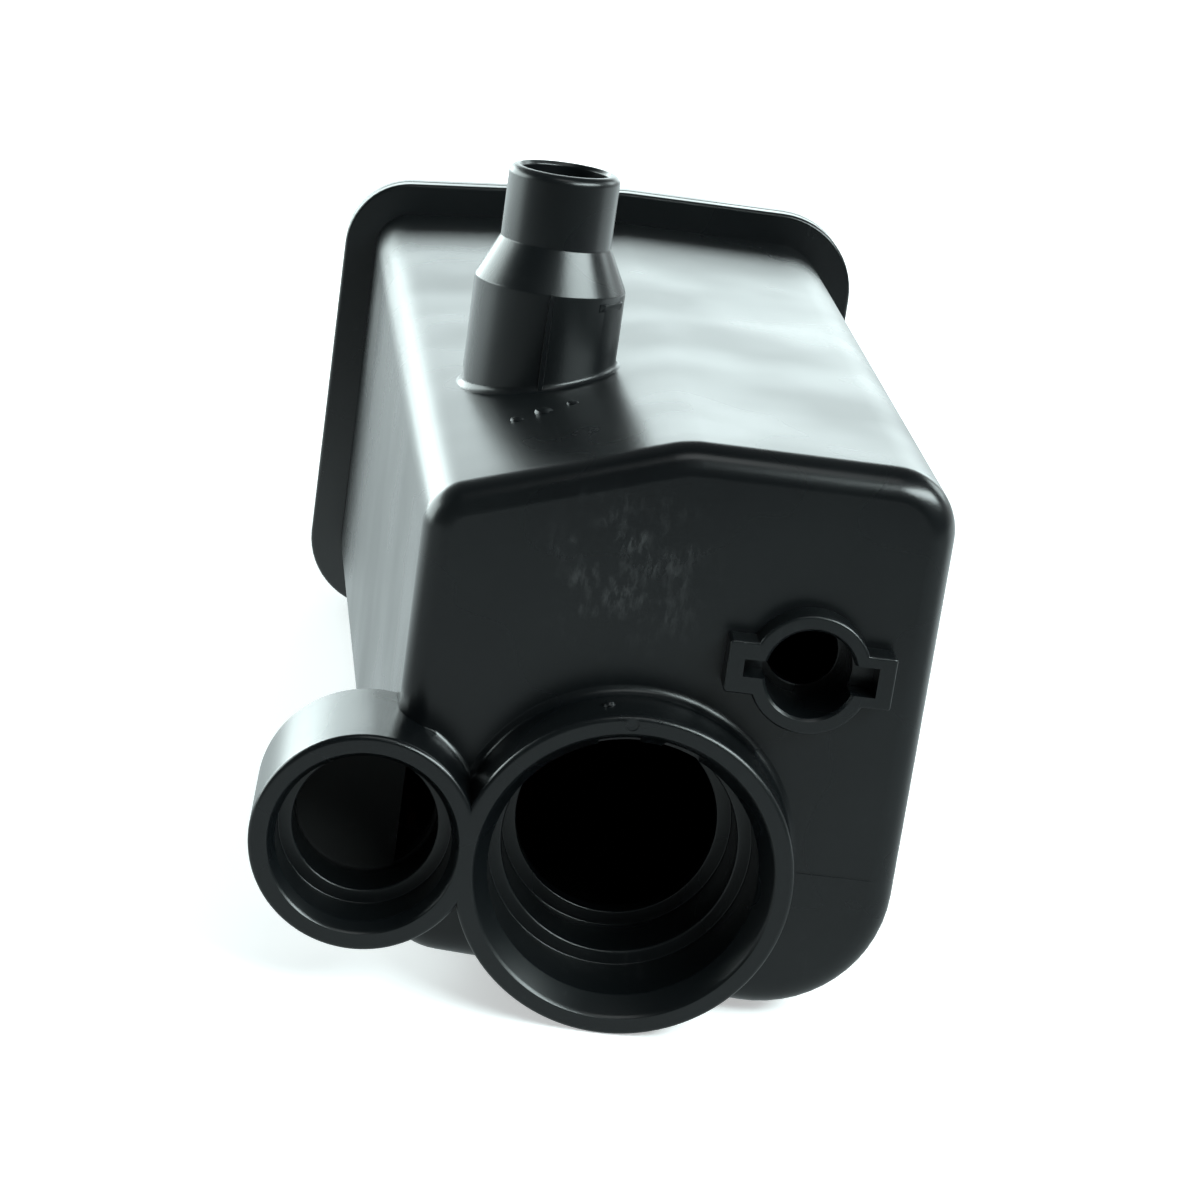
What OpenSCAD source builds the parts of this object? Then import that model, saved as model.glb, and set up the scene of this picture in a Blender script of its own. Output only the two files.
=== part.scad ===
// Coolant expansion tank of two welded half shells, lying on its side.
// The origin is on the large socket's axis, where its sealing bore begins. +Y runs into
// the tank, towards the filler cap, +Z is up as it rests, and every socket and the cap
// look along Y.

/* [Large socket] */
// Outer radius of the large socket's collar
large_r = 28; // [26:0.5:30]
// Radius of the large socket's mouth, at the rim
large_mouth_r = 24.5; // [23.5:0.1:25]
// Radius of the bore that seals on the hose coupling
large_bore_r = 22.4; // [21:0.1:23]
// Depth of the sloped lead-in behind the rim
large_lead = 4; // [2:0.5:6]
// Depth of the sealing bore, from the rim
large_bore_depth = 16.4; // [12:0.2:20]
// Radius of the throat behind the sealing bore
large_throat_r = 19.9; // [18.5:0.1:20.5]
// Depth of the throat's end, from the rim
large_throat_depth = 27.6; // [24:0.2:30]
// Radius of the opening into the tank
large_port_r = 17.3; // [14:0.1:18]
// Length of the socket, from the rim to its inner end
large_l = 30.5; // [30.5:0.5:36]
// Size of the sloped foot where the large collar meets the front face
large_foot = 1.4; // [0.8:0.1:2]

/* [Small socket] */
// Outer radius of the small socket's collar
small_r = 18.7; // [17.5:0.1:19.5]
// Radius of the small socket's mouth
small_mouth_r = 15.3; // [14.8:0.1:16]
// Radius of the bore behind the lead-in
small_bore_r = 14.4; // [13:0.1:14.6]
// Depth of the sloped lead-in
small_lead = 2.5; // [1:0.5:4]
// Depth of the sealing bore, from the rim
small_bore_depth = 10; // [8:0.5:12]
// Radius of the throat behind the sealing bore
small_throat_r = 12; // [10:0.1:12.8]
// Depth of the throat, from the rim
small_throat_depth = 21; // [18:0.5:22]
// Length of the socket, from the rim to its closed end
small_l = 24; // [23.5:0.5:28]
// Size of the sloped foot where the small collar meets the front face
small_foot = 1; // [0.5:0.1:1.5]
// Distance from the large socket's axis to the small collar's far side
small_reach = 61.7; // [61:0.1:64]
// Height of the small socket's axis above the large one's
small_rise = 0.7; // [-2:0.1:3]

/* [Shell] */
// Distance from the socket rims to the front face
stand_off = 12; // [8:0.5:16]
// Length of the lower shell, from its front face to the weld flange
lower_l = 213.6; // [180:0.2:240]
// Width of the front face
front_w = 87.1; // [80:0.1:100]
// Distance from the large socket's axis to the front face's left edge
socket_from_left = 39.8; // [36:0.1:44]
// Height of the tank's level top above the large socket's axis
top_z = 70.5; // [62:0.5:80]
// Distance from the large socket's axis down to the front face's bottom edge
socket_to_bottom = 25.9; // [22:0.1:27.5]
// Rise of the front face's bottom edge from right to left
bottom_rise = 3; // [0:0.5:6]
// Draft of the left wall, in degrees
left_draft = 3.9; // [0.5:0.1:5]
// Draft of the right wall, in degrees
right_draft = 0.3; // [0.1:0.1:2]
// Slope of the left half of the roof at the front, in degrees
front_slope = 18; // [8:1:24]
// Slope of the left half of the roof at the flange, in degrees
back_slope = 5.2; // [2:0.1:10]
// Place of the roof's ridge across the tank
ridge_x = 1.3; // [-8:0.1:10]
// Radius that rounds the ridge
ridge_r = 20; // [10:1:30]
// Rounding of the edges round the front face
face_edge = 5; // [4:0.5:7]
// Radii of the front corners: top left, top right, bottom right, bottom left
front_radii = [8, 11, 22, 12];
// Radii of the corners at the flange, in the same order
back_radii = [8, 11, 17, 10];
// Radii of the corners at the upper shell's end, in the same order
end_radii = [12, 15, 17, 14];
// Wall thickness of both shells
wall = 2.6; // [2:0.1:3.5]

/* [Weld flange] */
// How far the weld flange stands out from the walls
flange_lip = 7; // [4:0.5:9]
// Thickness of each half of the weld flange
flange_t = 4; // [3:0.5:6]

/* [Upper shell] */
// Length of the upper shell, from the weld to its end face
upper_l = 70; // [60:1:80]
// Drop of the roof over the upper shell
upper_drop = 12; // [10:0.5:18]
// Draw-in of the upper shell's other three walls
upper_taper = 4; // [2:0.5:8]
// Rounding of the edges round the end face
end_edge = 9; // [6:0.5:9.5]

/* [Sensor boss] */
// Distance from the front face's right edge to the level sensor's bore
sensor_from_right = 21.3; // [20:0.1:30]
// Height of the level sensor's bore above the large socket's axis
sensor_z = 36.1; // [34:0.1:44]
// Radius of the level sensor's bore
sensor_r = 7.5; // [6.5:0.1:8]
// Outer radius of the boss ring
sensor_ring_r = 10.2; // [9.8:0.1:12]
// How far the boss stands out from the front face
sensor_h = 5; // [3:0.5:7]
// Depth of the bore, from the boss's front to its inner step
sensor_bore_l = 14; // [12:0.5:18]
// Radius of the opening behind the step
sensor_port_r = 6; // [5:0.1:6.3]
// Half length of the bayonet ears, from the bore's axis
ear_l = 13.9; // [13:0.1:15]
// Height of the bayonet ears
ear_w = 9; // [7:0.5:10]
// Half length of the bayonet slots, from the bore's axis
slot_l = 11.1; // [10.8:0.1:12]
// Width of the slots: left, right
slot_w = [3, 5.1];
// Depth of the slots
slot_depth = 5.6; // [4:0.1:6]

/* [Hose neck] */
// Place of the hose neck's axis across the tank
neck_x = -21.2; // [-24:0.1:-18]
// Distance from the front face to the hose neck's axis
neck_from_face = 66; // [40:1:100]
// Radius of the neck's block
neck_block_r = 13.7; // [12.5:0.1:15]
// Height of the block's top above the large socket's axis
neck_block_z = 82; // [80:0.5:88]
// Height of the cone above the block
neck_cone_h = 7.5; // [5:0.5:10]
// Outer radius of the hose stub
stub_r = 10; // [9.5:0.1:11]
// Length of the hose stub, above the cone
stub_l = 13; // [10:0.5:20]
// Rounding of the stub's lip
lip_round = 1.5; // [0.8:0.1:2]
// Radius of the neck's bore
neck_bore_r = 7.8; // [6:0.1:8.2]

/* [Filler neck] */
// Distance from the middle of the weld flange to the filler neck's axis, to the left
filler_aside = 5; // [0:0.5:8]
// Height of the filler neck's axis above the large socket's axis
filler_z = 22; // [18:0.5:26]
// Radius of the filler neck's bore
filler_bore_r = 18; // [17:0.1:18.5]
// Outer radius of the filler neck, at the root of its thread
filler_r = 21; // [20.5:0.1:21.5]
// Height of the filler neck above the end face
filler_h = 22; // [20:0.5:26]
// Depth of the filler neck inside the tank
filler_inner = 14; // [12:0.5:16]
// Width of the ledge that holds the float's guide
ledge_w = 2; // [1.5:0.1:2.5]

/* [Screw cap] */
// Wall of the screw cap's skirt
cap_wall = 5; // [4:0.1:5.5]
// Thickness of the screw cap's top
cap_top = 3; // [2.5:0.1:4]
// Length of the skirt that hangs down round the neck
skirt_l = 19; // [15:0.5:19.5]
// Number of grip flutes round the cap
flutes = 24; // [12:1:30]
// Radius of one grip flute
flute_r = 1.6; // [1:0.1:1.8]
// Thickness of the rim of the cap's valve housing
housing_rim = 2.4; // [2:0.1:3]
// Depth of the valve housing, from the filler neck's rim
housing_l = 22; // [20:0.5:23]
// Wall of the valve housing
housing_wall = 4; // [3.8:0.1:4.4]
// Radius of the valve seat's hole
seat_r = 6; // [5.5:0.1:6.5]
// Thickness of the seal under the cap's rim
rim_seal_t = 1.2; // [0.8:0.1:1.6]
// Section radius of the ring on the valve housing
ring_r = 1.3; // [1.1:0.1:1.5]

/* [Valves] */
// Radius of the pressure valve's plate
plate_r = 10; // [9:0.1:10.5]
// Thickness of the pressure valve's plate
plate_t = 2; // [1.5:0.1:2.5]
// Thickness of the rubber disc under the plate
disc_t = 1; // [0.8:0.1:1.4]
// Wire radius of the pressure spring
spring_wire = 0.8; // [0.6:0.05:1]
// Turns of the pressure spring
spring_turns = 4; // [3:0.5:6]
// Radius of the vacuum valve's stem
stem_r = 1.5; // [1.2:0.1:1.8]
// Wire radius of the vacuum spring
small_wire = 0.35; // [0.25:0.05:0.4]
// Turns of the vacuum spring
small_turns = 3; // [2:0.5:4]
// Height of the vacuum spring
small_spring_h = 3.6; // [3:0.1:5]

/* [Level float] */
// Radius of the float
float_r = 14; // [10:0.5:16]
// Length of the float
float_l = 22; // [16:1:26]
// Travel of the float
float_travel = 22; // [14:1:23]
// Radius of the float's rod
rod_r = 2.2; // [1.8:0.1:2.6]
// Radius of the knob on the rod
knob_r = 4; // [3.6:0.1:4.6]
// Thickness of the knob
knob_t = 4; // [3:0.5:5]
// Thickness of the guide's ring and of its bush plate
guide_t = 3.5; // [3:0.1:4]
// Distance from the guide's ring down to its bush plate
guide_drop = 22; // [21:0.5:24]

/* [Bleed screw] */
// Distance from the upper shell's right wall, at the flange, to the bleed screw's axis
bleed_from_right = 17.4; // [16:0.1:18]
// Height of the bleed screw's axis above the large socket's axis
bleed_z = 41; // [38:0.5:43]
// Radius of the bleed screw's bore
bleed_bore_r = 4.4; // [4:0.1:4.8]
// Outer radius of the bleed boss
bleed_boss_r = 8.6; // [8.4:0.1:9.5]
// Height of the bleed boss above the end face
bleed_boss_h = 6; // [4:0.5:8]
// Radius of the bleed screw's head
bleed_head_r = 8; // [7:0.1:8.4]
// Thickness of the bleed screw's head
bleed_head_t = 5; // [4:0.5:6]
// Length of the bleed screw's shank
bleed_shank_l = 11; // [9:0.5:13]
// Section radius of the bleed screw's ring
bleed_ring_r = 1.1; // [0.9:0.05:1.2]

/* [Clearances] */
// Gap round what turns or slides
run_gap = 0.3; // [0.2:0.05:0.5]
// Gap under what rests on a seat
seat_gap = 0.2; // [0.1:0.05:0.3]
// Gap between the filler neck and the cap's skirt, which holds the threads
thread_gap = 3; // [2:0.1:3.5]
// Gap between the filler neck's bore and the valve housing, which its ring closes
housing_gap = 0.8; // [0.6:0.1:1.2]

/* [Hidden] */
// Smoothness of round surfaces and of the blended body
round_fn = 72;
blend_fn = 40;
edge_fn = 24;
// Overlaps that make cuts clean
cut = 1;
nick = 0.01;

// Places along Y
mouth_y = -large_lead;
face_y = mouth_y + stand_off;
flange_y = face_y + lower_l;
weld_y = flange_y + flange_t;
upper_y = weld_y + flange_t;
end_y = weld_y + upper_l;
rim_y = end_y + filler_h;
ledge_y = end_y - filler_inner;
// Walls at the front face and at the flange
face_left = -socket_from_left;
face_right = front_w - socket_from_left;
back_left = face_left - lower_l * tan(left_draft);
back_right = face_right + lower_l * tan(right_draft);
back_bottom = flange_lip - large_r;

// The five corner circles of a cross section, each as [x, z, radius], in clockwise order
function section(left, right, top, bottom, rise, slope, radii) =
  let (tl_x = left + radii[0])
  [
    [tl_x, top - (ridge_x - tl_x) * tan(slope) - radii[0] / cos(slope), radii[0]],
    [ridge_x + ridge_r * tan(slope / 2), top - ridge_r, ridge_r],
    [right - radii[1], top - radii[1], radii[1]],
    [right - radii[2], bottom + radii[2], radii[2]],
    [left + radii[3], bottom + rise + radii[3], radii[3]],
  ];
front_section = section(face_left, face_right, top_z, -socket_to_bottom, bottom_rise,
  front_slope, front_radii);
back_section = section(back_left, back_right, top_z, back_bottom, 0, back_slope, back_radii);
end_section = section(back_left + upper_taper, back_right - upper_taper, top_z - upper_drop,
  back_bottom + upper_taper, 0, back_slope, end_radii);

// Places across and up
small_at = [small_r - small_reach, small_rise];
sensor_at = [face_right - sensor_from_right, sensor_z];
filler_at = [(back_left + back_right) / 2 - filler_aside, filler_z];
bleed_at = [back_right - bleed_from_right, bleed_z];

// Sensor boss and hose neck
boss_y = face_y - sensor_h;
neck_y = face_y + neck_from_face;
cone_z = neck_block_z + neck_cone_h;
stub_z = cone_z + stub_l;

// Screw cap, from the filler neck's rim outwards
skirt_r = filler_r + thread_gap;
cap_r = skirt_r + cap_wall;
seal_y = rim_y + seat_gap;
housing_y = seal_y + rim_seal_t;
cap_inner_y = housing_y + housing_rim + seat_gap;
cap_y = cap_inner_y + cap_top;
housing_r = filler_bore_r - housing_gap;
ring_mid_r = filler_bore_r - run_gap - ring_r;
housing_end = rim_y - housing_l;
chamber_r = housing_r - housing_wall;
seat_t = 3;
seat_y = housing_end + seat_t;
disc_y = seat_y + seat_gap;
plate_y = disc_y + disc_t;
cover_t = 2;
cover_y = housing_y + housing_rim - cover_t - seat_gap;
spring_y = plate_y + plate_t + seat_gap;
valve_head_t = 1.6;

// Float and its guide
guide_y = ledge_y + ledge_w;
bush_y = guide_y - guide_drop;
knob_y = bush_y + guide_t + seat_gap;
float_y = bush_y - seat_gap - run_gap - float_travel - float_l;

// Bleed screw
bleed_y = end_y + bleed_boss_h;
bleed_seat_r = bleed_bore_r + 2 * bleed_ring_r;

// A solid of revolution about an axis along Y, from a profile of [radius, y]
module turned(at, y = 0) {
  translate([at[0], y, at[1]])
    rotate([-90, 0, 0])
      rotate_extrude($fn = round_fn)
        children();
}

// A cylinder along Y from y1 to y2
module rod_y(at, y1, y2, r) {
  translate([at[0], y1, at[1]])
    rotate([-90, 0, 0])
      cylinder(r = r, h = y2 - y1, $fn = round_fn);
}

// A cone along Y from radius r1 at y1 to radius r2 at y2
module cone_y(at, y1, y2, r1, r2) {
  translate([at[0], y1, at[1]])
    rotate([-90, 0, 0])
      cylinder(r1 = r1, r2 = r2, h = y2 - y1, $fn = round_fn);
}

// A plate of an outline in X and Z, from y1 to y2
module slab(y1, y2) {
  translate([0, y2, 0])
    rotate([90, 0, 0])
      linear_extrude(y2 - y1)
        children();
}

// Collar with a rounded outer edge at its rim
module collar(at, r, length, edge) {
  turned(at, mouth_y) {
    square([r - edge, length]);
    translate([0, edge]) square([r, length - edge]);
    translate([r - edge, edge]) circle(edge, $fn = round_fn);
  }
}

// Low cone where a collar meets the front face, over the arc that lies on the face
module collar_foot(at, r, foot, from, sweep) {
  translate([at[0], face_y - foot, at[1]])
    rotate([90, 0, 0])
      mirror([0, 0, 1])
        rotate([0, 0, from])
          rotate_extrude(angle = sweep, $fn = round_fn)
            polygon([[r - foot, -foot], [r + foot, foot], [r + foot, 2 * foot], [r - foot, 2 * foot]]);
}

// Normal of the outer common tangent from circle a to circle b, for clockwise outlines
function tangent(a, b) =
  let (dx = b[0] - a[0], dz = b[1] - a[1], span = norm([dx, dz]))
  atan2(dz, dx) + 90 + asin((b[2] - a[2]) / span);

// The outline of a belt round corner circles, grown by a margin, with true arcs
module belt(corners, grow = 0) {
  count = len(corners);
  polygon([
    for (i = [0:count - 1])
      let (a = corners[i], b = corners[(i + 1) % count], angle = tangent(a, b))
        for (c = [a, b])
          [c[0] + (c[2] + grow) * cos(angle), c[1] + (c[2] + grow) * sin(angle)]
  ]);
  for (c = corners)
    translate([c[0], c[1]])
      circle(c[2] + grow, $fn = round_fn);
}

// Blend from a section with rounded edges at y1 to a plain section at y2, which runs on
// by tail. inset shrinks it on all sides, which gives the hollow inside a wall.
module blend(near, far, y1, y2, edge, inset, tail) {
  inward = sign(y2 - y1);
  hull() {
    for (c = near)
      translate([c[0], y1 + inward * edge, c[1]])
        rotate([-90, 0, 0])
          rounded_disc(c[2] - edge, edge - inset);
    for (c = far)
      translate([c[0], min(y2, y2 + inward * tail), c[1]])
        rotate([-90, 0, 0])
          cylinder(r = c[2] - inset, h = tail, $fn = blend_fn);
  }
}

// Disc with a full round edge: mid is the radius to the middle of the edge
module rounded_disc(mid, edge) {
  rotate_extrude($fn = blend_fn)
    intersection() {
      translate([mid, 0]) circle(edge, $fn = edge_fn);
      translate([0, -edge]) square([mid + edge, 2 * edge]);
    }
}

module lower_shell() {
  rim_edge = 0.8;
  // Arcs on which the feet lie on the front face: start and sweep, in degrees
  large_arc = [-20, 220];
  small_arc = [12, 48];
  color([0.10, 0.10, 0.11])
    difference() {
      union() {
        difference() {
          union() {
            blend(front_section, back_section, face_y, flange_y, face_edge, 0, flange_t / 2);
            slab(flange_y, weld_y) belt(back_section, flange_lip);
            hose_neck();
          }
          blend(front_section, back_section, face_y, flange_y, face_edge, wall, flange_t + cut);
        }
        collar([0, 0], large_r, large_l, rim_edge);
        collar(small_at, small_r, small_l, rim_edge);
        collar_foot([0, 0], large_r, large_foot, large_arc[0], large_arc[1]);
        collar_foot(small_at, small_r, small_foot, small_arc[0], small_arc[1]);
        sensor_boss();
      }
      translate([0, mouth_y, 0]) {
        large_socket_bore();
        small_socket_bore();
      }
      sensor_bore();
      translate([neck_x, neck_y, 0])
        cylinder(r = neck_bore_r, h = stub_z + cut, $fn = round_fn);
    }
}

// Block, cone and hose stub, with the mould's seam down the front
module hose_neck() {
  seam_w = 1.2;
  seam_h = 0.6;
  translate([neck_x, neck_y, 0]) {
    cylinder(r = neck_block_r, h = neck_block_z, $fn = round_fn);
    translate([0, 0, neck_block_z])
      cylinder(r1 = neck_block_r, r2 = stub_r, h = neck_cone_h, $fn = round_fn);
    translate([0, 0, cone_z - cut])
      cylinder(r = stub_r, h = stub_l + cut - lip_round, $fn = round_fn);
    translate([0, 0, stub_z - lip_round])
      rotate_extrude($fn = round_fn)
        intersection() {
          translate([stub_r - lip_round, 0]) circle(lip_round, $fn = round_fn);
          square([stub_r, lip_round]);
        }
    translate([0, 0, cone_z])
      cylinder(r = stub_r - lip_round, h = stub_l, $fn = round_fn);
    translate([-seam_w / 2, -neck_block_r - seam_h, 0])
      cube([seam_w, neck_block_r, neck_block_z]);
  }
}

module large_socket_bore() {
  notch_w = 7;
  notch_h = 1.6;
  notch_from = 1;
  notch_at = [-4, 7];
  cone_y([0, 0], -nick, large_lead, large_mouth_r, large_bore_r);
  rod_y([0, 0], large_lead - nick, large_bore_depth, large_bore_r);
  rod_y([0, 0], large_bore_depth - cut, large_throat_depth, large_throat_r);
  rod_y([0, 0], large_throat_depth - cut, large_l + cut, large_port_r);
  for (x = notch_at)
    intersection() {
      translate([x - notch_w / 2, notch_from, 0]) cube([notch_w, large_lead, large_r]);
      rod_y([0, 0], 0, large_bore_depth, large_bore_r + notch_h);
    }
}

module small_socket_bore() {
  cone_y(small_at, -nick, small_lead, small_mouth_r, small_bore_r);
  rod_y(small_at, small_lead - nick, small_bore_depth, small_bore_r);
  rod_y(small_at, small_bore_depth - cut, small_throat_depth, small_throat_r);
  // The inner part of the throat runs on into the tank
  intersection() {
    rod_y(small_at, small_throat_depth - cut, small_l + cut, small_throat_r);
    translate([face_left + wall, 0, -small_r])
      cube([small_r, 2 * small_l, 2 * small_r]);
  }
}

module sensor_boss() {
  // The ring's inner end lies this far before the bore's end
  set_back = 2;
  ring_l = sensor_h + sensor_bore_l - set_back;
  translate([sensor_at[0], boss_y, sensor_at[1]])
    rotate([-90, 0, 0])
      cylinder(r = sensor_ring_r, h = ring_l, $fn = round_fn);
  translate([sensor_at[0] - ear_l, boss_y, sensor_at[1] - ear_w / 2])
    cube([2 * ear_l, sensor_h + wall / 2, ear_w]);
}

module sensor_bore() {
  bevel = 0.5;
  cone_y(sensor_at, boss_y - nick, boss_y + bevel, sensor_r + bevel, sensor_r);
  rod_y(sensor_at, boss_y, boss_y + sensor_bore_l, sensor_r);
  rod_y(sensor_at, boss_y, boss_y + 2 * sensor_bore_l, sensor_port_r);
  translate([sensor_at[0] - slot_l, boss_y - cut, sensor_at[1] - slot_w[0] / 2])
    cube([slot_l, slot_depth + cut, slot_w[0]]);
  translate([sensor_at[0], boss_y - cut, sensor_at[1] - slot_w[1] / 2])
    cube([slot_l, slot_depth + cut, slot_w[1]]);
}

module upper_shell() {
  color([0.10, 0.10, 0.11])
    difference() {
      union() {
        difference() {
          union() {
            slab(weld_y, upper_y) belt(back_section, flange_lip);
            blend(end_section, back_section, end_y, upper_y, end_edge, 0, flange_t / 2);
          }
          blend(end_section, back_section, end_y, upper_y, end_edge, wall, flange_t + cut);
        }
        rod_y(filler_at, ledge_y, rim_y, filler_r);
        rod_y(bleed_at, end_y - 2 * wall, bleed_y, bleed_boss_r);
      }
      rod_y(filler_at, guide_y, rim_y + cut, filler_bore_r);
      rod_y(filler_at, ledge_y - cut, guide_y + cut, filler_bore_r - ledge_w);
      rod_y(bleed_at, end_y - 3 * wall, bleed_y + cut, bleed_bore_r);
      rod_y(bleed_at, bleed_y - 3 * bleed_ring_r, bleed_y + cut, bleed_seat_r);
    }
}

// Ring, three legs and a spoked plate with the bush that guides the float's rod
module float_guide() {
  leg_w = 4;
  leg_t = 2.5;
  ring_in = filler_bore_r - ledge_w - 1;
  leg_at = ring_in - leg_t;
  bush_r = rod_r + run_gap;
  hub_r = knob_r + 1;
  color([0.85, 0.84, 0.78])
    difference() {
      union() {
        difference() {
          rod_y(filler_at, guide_y, guide_y + guide_t, filler_bore_r - run_gap);
          rod_y(filler_at, guide_y - cut, guide_y + guide_t + cut, ring_in);
        }
        rod_y(filler_at, bush_y, bush_y + guide_t, hub_r);
        for (a = [90:120:330])
          translate([filler_at[0], bush_y, filler_at[1]])
            rotate([0, a, 0]) {
              translate([leg_at, 0, -leg_w / 2])
                cube([leg_t, guide_drop + guide_t / 2, leg_w]);
              translate([leg_at, guide_drop, -leg_w / 2])
                cube([leg_t + 1, guide_t, leg_w]);
              translate([0, 0, -leg_w / 2])
                cube([leg_at + 1, guide_t, leg_w]);
            }
      }
      rod_y(filler_at, bush_y - cut, bush_y + guide_t + cut, bush_r);
    }
}

module level_float() {
  round_r = 2;
  color([0.82, 0.25, 0.16])
    turned(filler_at, float_y) {
      square([float_r - round_r, float_l]);
      translate([0, round_r]) square([float_r, float_l - 2 * round_r]);
      for (y = [round_r, float_l - round_r])
        translate([float_r - round_r, y]) circle(round_r, $fn = round_fn);
    }
}

module float_rod() {
  color([0.82, 0.25, 0.16]) {
    rod_y(filler_at, float_y + float_l, knob_y + cut, rod_r);
    rod_y(filler_at, knob_y, knob_y + knob_t, knob_r);
  }
}

// Cup with grip flutes that turns on the filler neck
module cap_shell() {
  edge = 2.5;
  lip_y = rim_y - skirt_l;
  color([0.08, 0.08, 0.09])
    difference() {
      turned(filler_at, lip_y) {
        square([cap_r, cap_y - lip_y - edge]);
        square([cap_r - edge, cap_y - lip_y]);
        translate([cap_r - edge, cap_y - lip_y - edge]) circle(edge, $fn = round_fn);
      }
      rod_y(filler_at, lip_y - cut, cap_inner_y, skirt_r);
      translate([filler_at[0], lip_y - cut, filler_at[1]])
        for (i = [0:flutes - 1])
          rotate([0, i * 360 / flutes, 0])
            translate([cap_r + flute_r / 3, 0, 0])
              rotate([-90, 0, 0])
                cylinder(r = flute_r, h = cap_y - lip_y - edge, $fn = edge_fn);
    }
}

// Housing that hangs in the filler neck and holds both valves
module valve_housing() {
  rim_r = skirt_r - run_gap;
  color([0.16, 0.16, 0.17])
    difference() {
      union() {
        rod_y(filler_at, housing_y, housing_y + housing_rim, rim_r);
        rod_y(filler_at, housing_end, housing_y + cut, housing_r);
      }
      rod_y(filler_at, seat_y, housing_y + housing_rim + cut, chamber_r);
      rod_y(filler_at, housing_end - cut, seat_y + cut, seat_r);
      turned(filler_at, housing_end + 3 * ring_r)
        translate([ring_mid_r - ring_r, -ring_r - run_gap])
          square([3 * ring_r, 2 * (ring_r + run_gap)]);
    }
}

module valve_cover() {
  vent_r = 1.5;
  vents_r = 6;
  color([0.16, 0.16, 0.17])
    difference() {
      rod_y(filler_at, cover_y, cover_y + cover_t, chamber_r);
      for (a = [0:60:300])
        rod_y(filler_at + vents_r * [cos(a), sin(a)], cover_y - cut, cover_y + cover_t + cut,
          vent_r);
    }
}

module housing_ring() {
  color([0.05, 0.05, 0.05])
    turned(filler_at, housing_end + 3 * ring_r)
      translate([ring_mid_r, 0])
        circle(ring_r, $fn = round_fn);
}

module rim_seal() {
  color([0.05, 0.05, 0.05])
    difference() {
      rod_y(filler_at, seal_y, housing_y, filler_r);
      rod_y(filler_at, seal_y - cut, housing_y + cut, filler_bore_r);
    }
}

module pressure_plate() {
  color([0.75, 0.74, 0.70])
    difference() {
      rod_y(filler_at, plate_y, plate_y + plate_t, plate_r);
      rod_y(filler_at, plate_y - cut, plate_y + plate_t + cut, stem_r + run_gap);
    }
}

module pressure_disc() {
  // How far the disc reaches over the seat
  lap = 2;
  color([0.05, 0.05, 0.05])
    difference() {
      rod_y(filler_at, disc_y, plate_y, seat_r + lap);
      rod_y(filler_at, disc_y - cut, plate_y + cut, stem_r + 2 * run_gap);
    }
}

// Round wire wound about the cap's axis, with steps points to a turn
module coil(y1, height, coil_r, wire_r, turns, steps) {
  // Points round the wire
  sides = 6;
  count = ceil(turns * steps);
  rings = [
    for (i = [0:count])
      let (a = 360 * turns * i / count, y = wire_r + (height - 2 * wire_r) * i / count)
        for (j = [0:sides - 1])
          let (b = 360 * j / sides, r = coil_r + wire_r * cos(b))
            [r * cos(a), y + wire_r * sin(b), r * sin(a)]
  ];
  walls = [
    for (i = [0:count - 1], j = [0:sides - 1])
      let (k = (j + 1) % sides)
        [i * sides + j, i * sides + k, (i + 1) * sides + k, (i + 1) * sides + j]
  ];
  first = [for (j = [sides - 1:-1:0]) j];
  last = [for (j = [0:sides - 1]) count * sides + j];
  translate([filler_at[0], y1, filler_at[1]])
    polyhedron(points = rings, faces = concat(walls, [first, last]), convexity = 6);
}

module pressure_spring() {
  color([0.70, 0.71, 0.73])
    coil(spring_y, cover_y - seat_gap - spring_y, plate_r - 2 * spring_wire, spring_wire,
      spring_turns, 18);
}

// Head under the pressure valve, stem through its plate and a collar over the small spring
module vacuum_valve() {
  collar_y = spring_y + small_spring_h + seat_gap;
  head_y = disc_y - seat_gap - valve_head_t;
  head_r = seat_r - 1;
  collar_r = stem_r + 2.3;
  color([0.75, 0.74, 0.70]) {
    rod_y(filler_at, head_y, head_y + valve_head_t, head_r);
    rod_y(filler_at, head_y, collar_y + cut, stem_r);
    rod_y(filler_at, collar_y, collar_y + cut, collar_r);
  }
}

module vacuum_spring() {
  // Distance from the stem to the middle of the wire
  clear = 1.2;
  color([0.70, 0.71, 0.73])
    coil(spring_y, small_spring_h, stem_r + clear, small_wire, small_turns, 12);
}

// Slotted head and plain shank, whose fine thread is left smooth
module bleed_screw() {
  slot_width = 2;
  slot_depth = 2;
  neck_r = bleed_seat_r - 2 * bleed_ring_r - run_gap;
  head_y = bleed_y + seat_gap;
  color([0.08, 0.08, 0.09])
    difference() {
      union() {
        rod_y(bleed_at, head_y, head_y + bleed_head_t, bleed_head_r);
        rod_y(bleed_at, head_y - bleed_shank_l, head_y + cut, neck_r);
      }
      translate([bleed_at[0] - bleed_head_r - cut, head_y + bleed_head_t - slot_depth,
          bleed_at[1] - slot_width / 2])
        cube([2 * (bleed_head_r + cut), slot_depth + cut, slot_width]);
    }
}

module bleed_ring() {
  color([0.05, 0.05, 0.05])
    turned(bleed_at, bleed_y - bleed_ring_r)
      translate([bleed_seat_r - bleed_ring_r - run_gap / 2, 0])
        circle(bleed_ring_r, $fn = round_fn);
}

lower_shell();
upper_shell();
float_guide();
level_float();
float_rod();
cap_shell();
valve_housing();
valve_cover();
housing_ring();
rim_seal();
pressure_plate();
pressure_disc();
pressure_spring();
vacuum_valve();
vacuum_spring();
bleed_screw();
bleed_ring();
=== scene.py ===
"""Looks of the coolant expansion tank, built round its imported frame. Shapes are in millimetres.
Places and lengths in the materials, the floor's shades and the lamps are in metres."""

from math import asin, atan2, cos, hypot, pi, radians, sin, tan

import bmesh
import bpy
from mathutils import Matrix, Vector

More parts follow.
